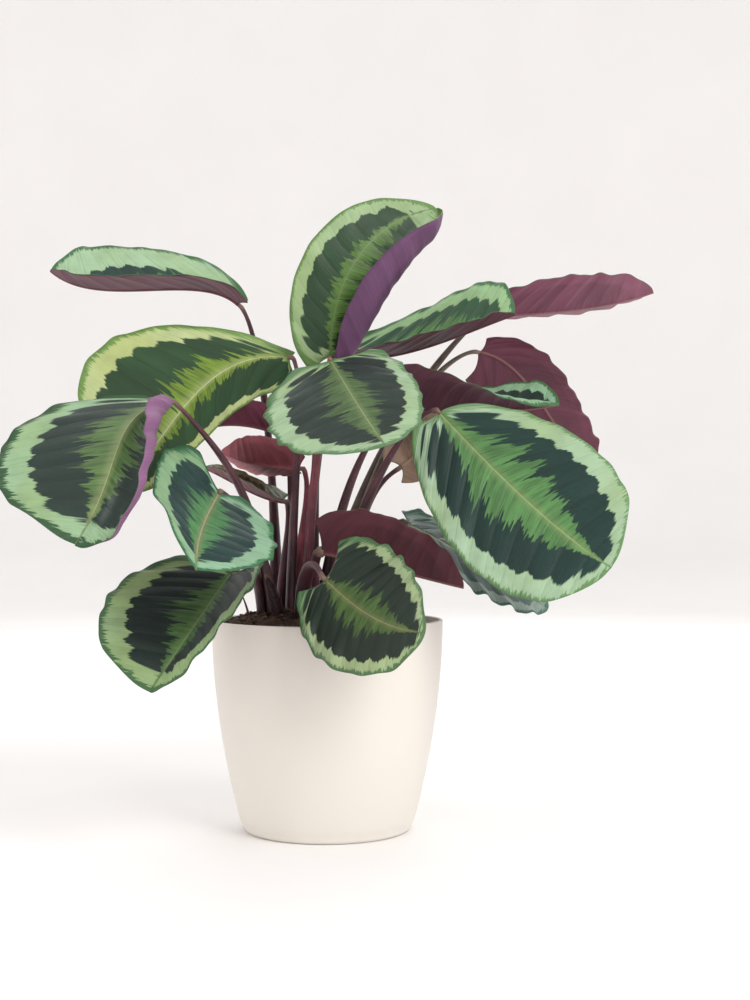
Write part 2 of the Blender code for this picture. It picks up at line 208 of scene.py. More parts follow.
class Look(NamedTuple):
    """Colours of one leaf as screen values, where its zones end, and how it waves.

    The feather's width is a share of the half width. The edges of the dark zone and the band are
    places on the way from the heart of the pattern, at 0, to the margin, at 1.
    """
    feather: tuple = (98, 146, 78)
    dark: tuple = (32, 58, 52)
    band: tuple = (158, 194, 156)
    margin: tuple = (56, 98, 58)
    rib: tuple = (196, 196, 146)
    under: tuple = (96, 54, 68)
    stalk: tuple = (72, 40, 48)
    feather_width: float = 0.24
    dark_edge: float = 0.70
    band_edge: float = 0.94
    ruffle: float = 0.0010
    waves: float = 3.6
    scallop: float = 0.010


# Seen from the front: numbers run from the top left leaf round to the low inner ones.
LEAVES = {
    "01": Leaf(
        spine=((-0.089, 0.060, 0.510), (-0.143, 0.050, 0.524), (-0.212, 0.040, 0.521),
               (-0.270, 0.030, 0.538)),
        left=(-0.001, -0.055, 0.006), right=(-0.014, 0.045, 0.051), widest=(0.50, 0.62),
        root=(-0.050, 0.052), rise=(-0.002, 0.030, 0.140), arrive=(-0.022, -0.005, 0.030)),
    "02": Leaf(
        spine=((-0.037, 0.000, 0.451), (-0.106, -0.030, 0.429), (-0.151, -0.065, 0.372),
               (-0.190, -0.090, 0.320)),
        left=(0.025, 0.020, -0.026), right=(-0.067, 0.032, 0.081), widest=(0.36, 0.71),
        turn=(0.9, 0.15),
        root=(-0.036, -0.004), rise=(0.004, -0.002, 0.150), arrive=(-0.012, 0.020, 0.024)),
    "03": Leaf(
        spine=((-0.138, -0.120, 0.399), (-0.168, -0.170, 0.376), (-0.179, -0.215, 0.332),
               (-0.202, -0.240, 0.276)),
        left=(0.029, 0.027, -0.045), right=(-0.101, 0.020, -0.001), curl=((260, 140), (0, 0)),
        widest=(0.50, 0.54),
        turn=(1.0, 0.6),
        lobe=(0.0, 0.10),
        root=(-0.062, -0.006), rise=(0.007, -0.020, 0.110), arrive=(-0.048, -0.024, 0.050)),
    "04": Leaf(
        spine=((-0.096, -0.110, 0.319), (-0.103, -0.150, 0.300), (-0.107, -0.190, 0.280),
               (-0.107, -0.220, 0.255)),
        left=(0.063, 0.000, -0.015), right=(-0.041, 0.030, 0.056), widest=(0.58, 0.42),
        lobe=(0.08, 0.14),
        root=(-0.050, -0.030), rise=(-0.006, -0.010, 0.080), arrive=(-0.016, -0.034, 0.010)),
    "05": Leaf(
        spine=((0.003, -0.045, 0.444), (0.018, -0.095, 0.414), (0.034, -0.130, 0.385),
               (0.050, -0.160, 0.359)),
        left=(0.058, 0.000, 0.012), right=(-0.078, 0.000, -0.024), widest=(0.36, 0.52),
        root=(-0.022, -0.016), rise=(0.006, 0.000, 0.150), arrive=(0.002, -0.022, 0.020)),
    "06": Leaf(
        spine=((0.003, -0.010, 0.450), (0.010, -0.020, 0.505), (0.042, -0.010, 0.562),
               (0.106, 0.020, 0.600)),
        left=(-0.047, 0.000, 0.009), right=(0.080, 0.024, -0.042), curl=((0, 0), (260, 150)),
        flat=(0.0, 0.2),
        root=(-0.022, 0.004), rise=(0.006, 0.000, 0.150), arrive=(0.002, 0.000, 0.040)),
    "07": Leaf(
        spine=((0.008, 0.045, 0.456), (0.070, 0.030, 0.458), (0.127, 0.015, 0.474),
               (0.181, 0.010, 0.494)),
        left=(0.030, 0.045, 0.060), right=(0.006, -0.050, 0.008), widest=(0.55, 0.25),
        root=(-0.016, 0.022), rise=(0.004, 0.002, 0.150), arrive=(0.016, -0.002, 0.026)),
    "08": Leaf(
        spine=((0.164, 0.100, 0.504), (0.222, 0.095, 0.508), (0.278, 0.090, 0.514),
               (0.332, 0.080, 0.527)),
        left=(0.009, 0.060, 0.004), right=(-0.005, -0.055, 0.027),
        root=(0.000, 0.038), rise=(0.020, 0.020, 0.150), arrive=(0.040, 0.010, 0.028)),
    "09": Leaf(
        spine=((0.074, 0.005, 0.401), (0.123, 0.000, 0.399), (0.173, -0.005, 0.400),
               (0.222, -0.010, 0.406)),
        left=(0.012, 0.050, 0.032), right=(-0.006, -0.030, 0.044), widest=(0.70, 0.25),
        curl=((0, 0), (20, -130)),
        root=(-0.006, 0.006), rise=(0.012, -0.008, 0.120), arrive=(0.030, 0.000, 0.015)),
    "10": Leaf(
        spine=((0.154, 0.080, 0.465), (0.200, 0.100, 0.440), (0.236, 0.115, 0.393),
               (0.272, 0.120, 0.347)),
        left=(-0.030, -0.010, -0.035), right=(0.040, 0.035, 0.016), widest=(0.35, 0.50),
        turn=(0.9, 0.3),
        root=(0.010, 0.028), rise=(0.032, 0.018, 0.200), arrive=(0.027, 0.010, 0.000)),
    "11": Leaf(
        spine=((0.104, -0.050, 0.395), (0.151, -0.080, 0.342), (0.199, -0.115, 0.293),
               (0.246, -0.150, 0.254)),
        left=(0.053, 0.012, 0.056), right=(-0.054, -0.019, -0.058), widest=(0.60, 0.55),
        lobe=(0.0, 0.10),
        root=(0.004, -0.004), rise=(0.016, -0.008, 0.100), arrive=(0.028, -0.014, 0.000)),
    "12": Leaf(
        spine=((0.076, 0.000, 0.292), (0.121, -0.010, 0.268), (0.167, -0.025, 0.238),
               (0.207, -0.040, 0.212)),
        left=(0.014, 0.045, 0.019), right=(-0.012, -0.045, -0.019),
        root=(0.009, 0.010), rise=(0.004, 0.004, 0.070), arrive=(0.034, 0.000, 0.012)),
    "13": Leaf(
        spine=((-0.005, -0.040, 0.264), (0.038, -0.050, 0.255), (0.081, -0.060, 0.244),
               (0.125, -0.070, 0.233)),
        left=(0.002, 0.035, 0.010), right=(0.001, -0.020, 0.048), widest=(0.50, 0.40),
        root=(-0.010, -0.018), rise=(-0.002, -0.004, 0.040), arrive=(0.006, -0.012, 0.016)),
    "14": Leaf(
        spine=((-0.002, -0.130, 0.243), (0.019, -0.150, 0.225), (0.046, -0.175, 0.209),
               (0.082, -0.190, 0.201)),
        left=(0.034, 0.010, 0.047), right=(-0.032, -0.010, -0.044), widest=(0.42, 0.50),
        lobe=(0.16, 0.16),
        root=(-0.024, -0.036), rise=(0.000, -0.010, 0.060), arrive=(0.008, -0.045, -0.019)),
    "15": Leaf(
        spine=((-0.086, -0.090, 0.248), (-0.102, -0.120, 0.225), (-0.123, -0.150, 0.192),
               (-0.151, -0.170, 0.150)),
        left=(0.029, -0.040, 0.002), right=(-0.080, 0.020, 0.020), widest=(0.30, 0.52),
        lobe=(0.16, 0.16),
        root=(-0.060, -0.022), rise=(-0.005, -0.010, 0.060), arrive=(-0.012, -0.035, -0.012)),
    "16": Leaf(
        spine=((-0.027, 0.020, 0.345), (-0.055, 0.030, 0.348), (-0.080, 0.042, 0.352),
               (-0.106, 0.050, 0.362)),
        left=(0.001, -0.030, 0.027), right=(-0.001, 0.030, -0.009),
        root=(-0.030, 0.026), rise=(-0.001, 0.004, 0.070), arrive=(-0.010, -0.006, 0.024)),
    "17": Leaf(
        spine=((-0.043, 0.030, 0.313), (-0.068, 0.020, 0.320), (-0.092, 0.010, 0.332),
               (-0.118, 0.000, 0.345)),
        left=(0.002, -0.035, 0.007), right=(0.003, 0.035, 0.014),
        root=(-0.046, 0.014), rise=(0.002, 0.004, 0.060), arrive=(-0.004, 0.006, 0.028)),
    "18": Leaf(
        spine=((0.072, 0.030, 0.347), (0.092, 0.045, 0.363), (0.116, 0.055, 0.380),
               (0.143, 0.060, 0.395)),
        left=(0.018, 0.000, -0.022), right=(-0.022, 0.000, 0.028), lobe=(0.20, 0.20),
        root=(0.018, 0.019), rise=(0.004, 0.004, 0.090), arrive=(0.028, 0.006, 0.016)),
    "19": Leaf(
        spine=((-0.049, 0.045, 0.381), (-0.081, 0.035, 0.388), (-0.112, 0.025, 0.386),
               (-0.139, 0.010, 0.371)),
        left=(0.002, -0.020, 0.026), right=(-0.003, 0.020, 0.010),
        root=(-0.036, 0.042), rise=(0.002, 0.017, 0.100), arrive=(-0.012, 0.000, 0.026)),
}

LOOKS = {
    "01": Look(dark_edge=0.52, band=(162, 196, 156), under=(86, 44, 58), ruffle=0.0006),
    # Leaf 02's lime feather is painted glow: light shining through the blade from behind, painted
    # into its colour.
    "02": Look(feather=(118, 148, 48), dark=(36, 66, 36), band=(182, 196, 134),
               margin=(98, 130, 66), under=(120, 62, 86), feather_width=0.24, dark_edge=0.76),
    "03": Look(feather=(98, 130, 74), dark=(34, 50, 44), band=(150, 186, 144),
               margin=(48, 80, 50), under=(124, 84, 118), feather_width=0.29, dark_edge=0.70,
               band_edge=0.93, ruffle=0.0016, waves=4.0, scallop=0.016),
    "04": Look(feather=(80, 146, 82), dark=(22, 54, 50), band=(138, 182, 146),
               margin=(50, 100, 64), rib=(196, 166, 138), feather_width=0.32, ruffle=0.0022,
               waves=2.6, scallop=0.020),
    "05": Look(feather=(92, 120, 74), dark=(40, 52, 46), band=(158, 188, 148),
               margin=(84, 118, 80), rib=(148, 162, 112), feather_width=0.28, dark_edge=0.72,
               stalk=(112, 54, 64), ruffle=0.0016,
               scallop=0.024, waves=4.2),
    "06": Look(feather=(94, 132, 58), dark=(36, 64, 38), band=(150, 178, 128),
               margin=(92, 124, 68), rib=(112, 142, 74), under=(88, 56, 86),
               feather_width=0.20, dark_edge=0.70),
    "07": Look(feather_width=0.46, dark=(40, 76, 48), band=(148, 188, 132), under=(82, 42, 56)),
    "08": Look(under=(126, 74, 94), ruffle=0.0012, waves=4.2, stalk=(92, 78, 70)),
    "09": Look(band=(138, 184, 146), dark=(28, 56, 46), under=(94, 56, 70), ruffle=0.0008),
    "10": Look(under=(84, 42, 56), ruffle=0.0016, waves=5.0, scallop=0.016,
               stalk=(98, 84, 74)),
    "11": Look(feather=(96, 148, 84), dark=(22, 50, 44), band=(162, 194, 158),
               margin=(94, 130, 82), rib=(162, 172, 116), feather_width=0.37, dark_edge=0.745,
               band_edge=0.965, ruffle=0.0012),
    "12": Look(feather=(112, 142, 120), dark=(76, 106, 98), band=(150, 180, 166),
               margin=(70, 110, 96), under=(104, 70, 88), ruffle=0.0022, waves=5.0),
    "13": Look(under=(84, 44, 52), ruffle=0.0020, waves=3.4, scallop=0.014),
    "14": Look(feather=(78, 108, 52), dark=(26, 40, 30), band=(150, 170, 124),
               margin=(70, 102, 66), rib=(148, 140, 98), feather_width=0.30, dark_edge=0.77,
               ruffle=0.0020, scallop=0.030, waves=3.0),
    "15": Look(feather=(80, 118, 66), dark=(26, 42, 36), band=(146, 178, 126),
               margin=(60, 96, 60), rib=(128, 150, 96), dark_edge=0.71, ruffle=0.0014),
    "16": Look(under=(152, 84, 94), ruffle=0.0006, stalk=(116, 56, 66)),
    "17": Look(feather=(116, 120, 70), dark=(70, 84, 56), band=(150, 150, 104),
               under=(104, 60, 66), ruffle=0.0005),
    "18": Look(feather=(120, 130, 70), dark=(96, 110, 62), band=(158, 160, 116),
               under=(146, 122, 104), ruffle=0.0006),
    "19": Look(under=(116, 58, 78), ruffle=0.0006),
}

SHEATHS = {
    "01": ((-0.044, -0.042, 0.000), (-0.046, -0.044, 0.016), (-0.050, -0.046, 0.032),
           (-0.057, -0.050, 0.050)),
    "02": ((-0.026, -0.050, 0.000), (-0.025, -0.052, 0.014), (-0.022, -0.054, 0.028),
           (-0.017, -0.057, 0.043)),
    "03": ((0.008, -0.024, 0.000), (0.010, -0.025, 0.013), (0.014, -0.027, 0.026),
           (0.020, -0.030, 0.040)),
}
SHEATH_HALF_WIDTH = 0.0075
SHEATH_CURL = 75
SHEATH_SEED = 40
SHOOT_FOOT = (-0.072, -0.030)
SHOOT_LEAN = (-0.008, -0.004, 0.034)
SHOOT_STEPS = 16
SHOOT_BOW = 0.0016
SHOOT_ROOT = 0.0016
SHOOT_RADIUS = 0.0017
SHOOT_TIP = 0.0004
SHOOT_BLUNTNESS = 0.7


def linear(colour):
    """Screen values 0 to 255 as the linear colour that a shader takes."""
    parts = [c / 255 for c in colour]
    return (*(p / 12.92 if p <= 0.04045 else ((p + 0.055) / 1.055) ** 2.4 for p in parts), 1.0)


def shaded(colour, factor):
    """The colour made darker or lighter."""
    return [c * factor for c in colour]


def blend(a, b, share):
    """Colour a with a share of colour b."""
    return [c * (1 - share) + d * share for c, d in zip(a, b)]


def smoothstep(x):
    x = min(max(x, 0.0), 1.0)
    return x * x * (3 - 2 * x)


def curve_through(points, t):
    """Place and direction at t on the cubic that passes its four points at 0, 1/3, 2/3 and 1."""
    a, b, c, d = (Vector(p) for p in points)
    handle_1 = (-5 * a + 18 * b - 9 * c + 2 * d) / 6
    handle_2 = (2 * a - 9 * b + 18 * c - 5 * d) / 6
    return bezier(a, handle_1, handle_2, d, t)


def bezier(a, b, c, d, t):
    """Place and direction at t on the cubic from a to d with the handles b and c."""
    s = 1 - t
    place = s**3 * a + 3 * s * s * t * b + 3 * s * t * t * c + t**3 * d
    direction = 3 * s * s * (b - a) + 6 * s * t * (c - b) + 3 * t * t * (d - c)
    return place, direction.normalized()


def full_outline(u, widest):
    """Width of a half blade before its tip is pinched, and the stretched place along it."""
    x = u ** (log(0.5) / log(widest)) if u > 0 else 0.0
    return max(4 * x * (1 - x), 0.0) ** OUTLINE_POWER, x


def outline(u, widest):
    """Width of a half blade along its midrib, as a share of its greatest width."""
    pinch = smoothstep((u - POINT_START) / (1 - POINT_START))
    return max(full_outline(u, widest)[0] * (1 - POINT_PINCH * pinch), END_WIDTH)


def bend(q, flat, angle):
    """Across and up at share q of a half that lies flat at first and then turns by angle."""
    angle = angle if abs(angle) > 1e-3 else 1e-3
    turned = max(q - flat, 0.0) / (1 - flat)
    radius = (1 - flat) / angle
    return min(q, flat) + radius * sin(angle * turned), radius * (1 - cos(angle * turned))


def carry(side, start, direction, turn):
    """Side vector, turned part of the way from the start direction to this one."""
    turned = start.rotation_difference(direction).to_matrix() @ side
    return turned * turn + side * (1 - turn)


def blade_point(leaf, u, q, half):
    """Point of the upper face: u along the midrib, q across the half, 0 left or 1 right."""
    place, direction = curve_through(leaf.spine, u)
    length = sum((Vector(b) - Vector(a)).length for a, b in zip(leaf.spine, leaf.spine[1:]))
    sign = 1 if half else -1
    reach = Vector((leaf.left, leaf.right)[half])
    widest = leaf.widest[half]
    at_widest = curve_through(leaf.spine, widest)[1]
    along = reach.dot(at_widest)
    across = reach - along * at_widest
    side = carry(across.normalized(), at_widest, direction, leaf.turn[half])
    up = sign * side.cross(direction).normalized()
    curl_base, curl_tip = leaf.curl[half]
    angle = radians(curl_base + (curl_tip - curl_base) * u)
    out, lift = bend(q, leaf.flat[half], angle)
    width = outline(u, widest)
    lobe = leaf.lobe[half] * length * q**1.5 * (1 - u) ** 3 * min(u / LOBE_START, 1.0)
    return (place + direction * (along * q * width - lobe)
            + side * (out * across.length * width) + up * (lift * across.length * width))


def vein_place(u, q):
    """Where the lateral vein through this point leaves the midrib."""
    sweep = VEIN_SWEEP * q**VEIN_POWER
    return (u - sweep) / (1 - sweep)


# ---------------------------------------------------------------- node graphs


class Graph:
    """Short names for the nodes that the materials are made of."""

    def __init__(self, name):
        self.material = bpy.data.materials.new(name)
        self.material.use_nodes = True
        self.tree = self.material.node_tree
        self.shader = self.tree.nodes["Principled BSDF"]

    def put(self, socket, value):
        if isinstance(value, bpy.types.NodeSocket):
            self.tree.links.new(value, socket)
        else:
            socket.default_value = value

    def make(self, kind, inputs=(), **settings):
        node = self.tree.nodes.new(kind)
        for key, value in settings.items():
            setattr(node, key, value)
        for key, value in dict(inputs).items():
            self.put(node.inputs[key], value)
        return node

    def math(self, operation, *values):
        node = self.make("ShaderNodeMath", operation=operation)
        for socket, value in zip(node.inputs, values):
            self.put(socket, value)
        return node.outputs[0]

    def add(self, a, b):
        return self.math("ADD", a, b)

    def sub(self, a, b):
        return self.math("SUBTRACT", a, b)

    def mul(self, a, b):
        return self.math("MULTIPLY", a, b)

    def ramp(self, x, low, high, start=0.0, end=1.0):
        """A smooth step of x from start at low to end at high."""
        node = self.make("ShaderNodeMapRange", interpolation_type="SMOOTHSTEP")
        for socket, value in zip(node.inputs, (x, low, high, start, end)):
            self.put(socket, value)
        return node.outputs[0]

    def mix(self, share, a, b):
        node = self.make("ShaderNodeMix", data_type="RGBA")
        self.put(node.inputs["Factor"], share)
        self.put(node.inputs[6], a)
        self.put(node.inputs[7], b)
        return node.outputs[2]

    def split(self, uv_name):
        uv = self.make("ShaderNodeUVMap", uv_map=uv_name).outputs[0]
        parts = self.make("ShaderNodeSeparateXYZ", {0: uv}).outputs
        return parts[0], parts[1]

    def vector(self, x, y, z=0.0):
        return self.make("ShaderNodeCombineXYZ", {0: x, 1: y, 2: z}).outputs[0]

    def noise(self, vector, scale, detail=2.0, roughness=0.5):
        """Noise about zero, from roughly -0.5 to 0.5."""
        node = self.make("ShaderNodeTexNoise", {"Vector": vector, "Scale": scale,
                                                "Detail": detail, "Roughness": roughness})
        return self.sub(node.outputs["Fac"], 0.5)

    def object_place(self):
        return self.make("ShaderNodeTexCoord").outputs["Object"]

    def bump(self, height, distance, strength):
        node = self.make("ShaderNodeBump", {"Height": height, "Distance": distance,
                                            "Strength": strength})
        self.put(self.shader.inputs["Normal"], node.outputs[0])

    def finish(self, colour, roughness, **constants):
        self.put(self.shader.inputs["Base Color"], colour)
        self.put(self.shader.inputs["Roughness"], roughness)
        for key, value in constants.items():
            self.shader.inputs[key.replace("_", " ")].default_value = value
        return self.material


class Veins(NamedTuple):
    """Coordinates shared by both faces of a blade.

    u runs along the midrib from base to tip, and rho from the heart of the pattern, at 0, to 1 at
    the margin. y is the way out from the midrib. Place is where the lateral vein through the point
    leaves the midrib, along_veins makes noise that is drawn out along the veins, and bulge is 0 on
    a vein and 1 between two.
    """
    u: object
    rho: object
    y: object
    place: object
    along_veins: object
    bulge: object


def vein_graph(graph, seed):
    """The vein coordinates as sockets of this graph; the seed makes each leaf's noise its own."""
    u, v = graph.split("Leaf")
    rho, y = graph.split("Zones")
    q = graph.math("ABSOLUTE", v)
    sweep = graph.mul(graph.math("POWER", q, VEIN_POWER), VEIN_SWEEP)
    place = graph.math("DIVIDE", graph.sub(u, sweep), graph.sub(1.0, sweep))
    side = graph.add(graph.mul(graph.math("GREATER_THAN", v, 0.0), 7.3), float(seed))

    def along_veins(frequency, across, detail=2.0):
        spot = graph.vector(graph.mul(place, frequency), graph.mul(q, across), side)
        return graph.noise(spot, 1.0, detail)

    bulge = graph.math("ABSOLUTE", graph.math("SINE", graph.mul(place, pi * VEINS)))
    return Veins(u, rho, y, place, along_veins, bulge)


def upper_material(number, look, seed):
    """Painted upper face: a light feather, a dark zone, a pale band and a green margin."""
    g = Graph(f"leaf_upper_{number}")
    u, rho, y, place, along_veins, bulge = vein_graph(g, seed)
    fine = along_veins(110.0, 2.2, 3.0)
    middle = along_veins(34.0, 1.3)
    broad = along_veins(9.0, 0.8)
    streak = along_veins(190.0, 3.5, 3.0)
    tooth = g.sub(g.math("FRACT", g.mul(place, 3.0 * VEINS)), 0.5)

    # The light feather along the midrib, with teeth that point out along the veins.
    taper = g.mul(g.ramp(u, 0.0, 0.42, 0.12, 1.0), g.ramp(u, 0.48, 0.97, 1.0, 0.02))
    reach = g.add(g.add(look.feather_width, g.mul(middle, 0.38)), g.mul(tooth, -0.15))
    reach = g.add(g.add(reach, g.mul(fine, 0.38)), g.mul(broad, 0.28))
    reach = g.add(reach, g.mul(g.sub(bulge, 0.7), 0.15))
    feather_edge = g.mul(reach, taper)
    feather = g.ramp(y, g.sub(feather_edge, 0.010), g.add(feather_edge, 0.014), 1.0, 0.0)

    # The dark zone, lobed between the veins, then the light band, then the thin green margin.
    wobble = g.add(g.mul(g.sub(bulge, 0.6), 0.060), g.mul(middle, 0.09))
    wobble = g.add(wobble, g.add(g.mul(fine, 0.07), g.mul(broad, 0.05)))
    ends = g.add(g.ramp(u, 0.02, 0.48, 0.18, 0.0), g.ramp(u, 0.72, 0.96, 0.0, 0.12))
    dark_edge = g.add(g.add(wobble, ends), look.dark_edge)
    dark = g.ramp(rho, g.sub(dark_edge, 0.010), g.add(dark_edge, 0.016), 1.0, 0.0)
    margin_edge = g.add(g.mul(fine, 0.20), g.add(g.mul(middle, 0.10), look.band_edge))
    margin = g.ramp(rho, g.sub(margin_edge, 0.012), g.add(margin_edge, 0.012))

    lit_feather = g.mix(g.ramp(g.add(middle, streak), -0.35, 0.40), linear(look.feather),
                        linear(shaded(look.feather, 0.66)))
    lit_feather = g.mix(g.ramp(y, 0.0, 0.10, 0.22, 0.0), lit_feather, linear(look.rib))
    lit_dark = g.mix(g.ramp(g.add(broad, g.mul(streak, 0.5)), -0.35, 0.35),
                     linear(shaded(look.dark, 0.86)), linear(shaded(look.dark, 1.16)))
    # The dark zone is darker along the veins: painted shade in the creases between the quilted
    # panels.
    lit_dark = g.mix(g.ramp(bulge, 0.0, 0.40, 0.30, 0.0), lit_dark,
                     linear(shaded(look.dark, 0.70)))
    band = blend(look.band, BAND_GREY, 0.14)
    lit_band = g.mix(g.ramp(g.add(g.mul(streak, 1.2), fine), -0.05, 0.55, 0.0, 0.60),
                     linear(band), linear(blend(look.margin, band, 0.45)))
    lit_band = g.mix(g.ramp(bulge, 0.0, 0.20, 0.20, 0.0), lit_band, linear(look.margin))
    olive = linear([c * d for c, d in zip(band, OLIVE_TINT)])
    patch = g.noise(g.object_place(), 11.0, 1.0)
    lit_band = g.mix(g.ramp(patch, -0.08, 0.22, 0.0, 0.85), lit_band, olive)
    lit_margin = g.mix(g.ramp(streak, -0.3, 0.3), linear(look.margin),
                       linear(shaded(look.margin, 1.18)))

    colour = g.mix(margin, lit_band, lit_margin)
    colour = g.mix(dark, colour, lit_dark)
    colour = g.mix(feather, colour, lit_feather)
    rib = g.mul(g.ramp(y, 0.004, 0.013, 0.60, 0.0), g.ramp(u, 0.78, 0.94, 1.0, 0.0))
    colour = g.mix(rib, colour, linear(look.rib))
    cloud = g.noise(g.object_place(), 55.0, 3.0)
    colour = g.mix(g.ramp(cloud, -0.2, 0.4, 0.0, 0.22), colour, linear(shaded(look.dark, 0.72)))

    height = g.add(g.mul(g.ramp(bulge, 0.0, 0.45), 0.5), g.mul(streak, 0.7))
    g.bump(height, 0.0006, 0.6)
    roughness = g.add(g.mul(g.add(streak, cloud), 0.10), g.add(g.mul(dark, -0.04), 0.46))
    return g.finish(colour, roughness, Specular_IOR_Level=0.36)


def under_material(number, look, seed):
    """Purple lower face, a little paler at its margin, veins and midrib."""
    g = Graph(f"leaf_under_{number}")
    veins = vein_graph(g, seed)
    broad = veins.along_veins(7.0, 0.8)
    streak = veins.along_veins(120.0, 3.0, 3.0)
    shade = g.ramp(g.add(broad, g.mul(streak, 0.8)), -0.35, 0.35)
    colour = g.mix(shade, linear(shaded(look.under, 0.84)), linear(shaded(look.under, 1.10)))
    pale = [min(c * 1.30 + 10, 255) for c in look.under]
    colour = g.mix(g.ramp(veins.rho, 0.70, 0.80, 0.0, 0.20), colour, linear(pale))
    colour = g.mix(g.ramp(veins.bulge, 0.0, 0.16, 0.07, 0.0), colour, linear(pale))
    colour = g.mix(g.ramp(veins.y, 0.008, 0.034, 0.65, 0.0), colour,
                   linear(blend(pale, UNDER_RIB, 0.5)))
    ridges = g.mul(g.ramp(veins.bulge, 0.0, 0.5, 1.0, 0.0), 0.5)
    g.bump(g.add(ridges, g.mul(streak, 0.5)), 0.0006, 0.6)
    roughness = g.add(g.mul(streak, 0.14), 0.58)
    return g.finish(colour, roughness, Specular_IOR_Level=0.26, Sheen_Weight=0.05,
                    Sheen_Roughness=0.45)


def stalk_material(name, colour):
    """Satin skin with fine lengthwise streaks, darkest at the foot and paler at the knee."""
    g = Graph(name)
    t, turn = g.split("Leaf")
    ring = g.vector(g.mul(t, 2.6), g.math("SINE", turn), g.math("COSINE", turn))
    streak = g.noise(ring, 5.0, 4.0)
    blotch = g.noise(g.object_place(), 42.0, 3.0)
    body = g.mix(g.ramp(t, 0.02, 0.50), linear(shaded(colour, 0.58)), linear(colour))
    body = g.mix(g.ramp(g.add(streak, blotch), -0.2, 0.45, 0.0, 0.75), body,
                 linear([c * 1.45 + 8 for c in colour]))
    body = g.mix(g.ramp(t, 0.92, 0.985, 0.0, 0.45), body, linear(KNEE_TAN))
    g.bump(streak, 0.0004, 0.6)
    return g.finish(body, g.add(g.mul(streak, 0.16), 0.44), Specular_IOR_Level=0.45)


def pot_material():
    """Smooth matte cream, with a faint mottle and the slight ripple of a moulded wall."""
    g = Graph("pot_cream")
    spot = g.object_place()
    broad = g.noise(spot, 9.0, 2.0)
    fine = g.noise(spot, 900.0, 2.0)
    colour = g.mix(g.ramp(broad, -0.25, 0.25), linear(POT_LIGHT), linear(POT_SHADE))
    colour = g.mix(g.ramp(fine, 0.10, 0.40, 0.0, 0.12), colour, linear(POT_SPECK))
    g.bump(g.add(g.mul(fine, 0.35), g.mul(broad, 0.8)), 0.0002, 0.5)
    return g.finish(colour, g.add(g.mul(broad, 0.08), 0.52), Specular_IOR_Level=0.40)


def soil_material(name, low, high):
    """Damp potting soil: dark peat with paler fibres and grains."""
    g = Graph(name)
    spot = g.object_place()
    grain = g.noise(spot, 420.0, 5.0, 0.7)
    clump = g.noise(spot, 90.0, 3.0)
    colour = g.mix(g.ramp(g.add(grain, clump), -0.25, 0.30), linear(low), linear(high))
    colour = g.mix(g.ramp(grain, 0.16, 0.24, 0.0, 0.65), colour, linear(FIBRE))
    g.bump(g.add(grain, clump), 0.0016, 0.9)
    return g.finish(colour, g.add(g.mul(grain, 0.2), 0.86), Specular_IOR_Level=0.25)


# ---------------------------------------------------------------- meshes


def mesh_object(name, points, faces, materials, face_slots=None, maps=()):
    """A smooth mesh in the scene, with the material slot of each face and named UV maps."""
    mesh = bpy.data.meshes.new(name)
    mesh.from_pydata([tuple(p) for p in points], [], [tuple(f) for f in faces])
    for material in materials:
        mesh.materials.append(material)
    if face_slots is not None:
        mesh.polygons.foreach_set("material_index", face_slots)
    for map_name, values in maps:
        layer = mesh.uv_layers.new(name=map_name, do_init=False)
        layer.uv.foreach_set("vector", np.asarray(values, np.float32).ravel())
    mesh.shade_smooth()
    mesh.validate()
    obj = bpy.data.objects.new(name, mesh)
    bpy.context.scene.collection.objects.link(obj)
    return obj


def set_piece(obj, slot, *nodes):
    """Hide the CAD nodes that a drawn piece replaces, if any, and attach it; slot is not used."""
    if nodes:
        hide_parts(*nodes)
    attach(obj, "root")


def wave_maker(look, seed):
    """Two functions of a point of one blade: how far it is raised, and how far the half swells."""
    draw = Random(seed)
    phases = [[draw.uniform(0, 2 * pi) for _ in range(4)] for _ in (0, 1)]

    # Waves of two lengths and a slow bend grow towards the margin. The quilting between the
    # veins fades there. Both die out at the base and the tip.
    def lift(u, q, half):
        place = vein_place(u, q)
        first, second, third, _ = phases[half]
        wave = sin(2 * pi * look.waves * place + first)
        wave += 0.40 * sin(2 * pi * look.waves * 1.8 * place + second)
        slow = 0.6 * sin(2 * pi * 1.3 * place + third)
        ends = smoothstep(u / 0.14) * smoothstep((1 - u) / 0.12)
        edge = smoothstep((q - 0.30) / 0.70) ** 1.4
        panel = abs(sin(pi * VEINS * place)) - 0.6
        inner = smoothstep(q / 0.14) * (1 - 0.6 * smoothstep((q - 0.7) / 0.3))
        return look.ruffle * (wave + slow) * edge * ends + QUILT_HEIGHT * panel * inner * ends

    # The margin goes in and out with a wave of its own, and a little inwards at every other vein.
    def swell(u, q, half):
        place = vein_place(u, q)
        wave = sin(2 * pi * look.waves * 1.35 * place + phases[half][3])
        notch = abs(sin(pi * VEINS * 0.5 * place)) ** 0.7 - 0.7
        ends = smoothstep(u / 0.10) * smoothstep((1 - u) / 0.10)
        return 1 + look.scallop * q**3 * ends * (0.7 * wave + 0.7 * notch)

    return lift, swell


def blade_columns(leaf):
    """Columns from edge to edge as (half, share across it), and which one is the midrib."""
    halves = [ROLLED_COLUMNS if max(curl) > ROLLED_FROM else HALF_COLUMNS for curl in leaf.curl]
    columns = [(0, (j / halves[0]) ** MIDRIB_CROWDING) for j in range(halves[0], 0, -1)]
    columns += [(1, (j / halves[1]) ** MIDRIB_CROWDING) for j in range(halves[1] + 1)]
    return columns, halves[0]


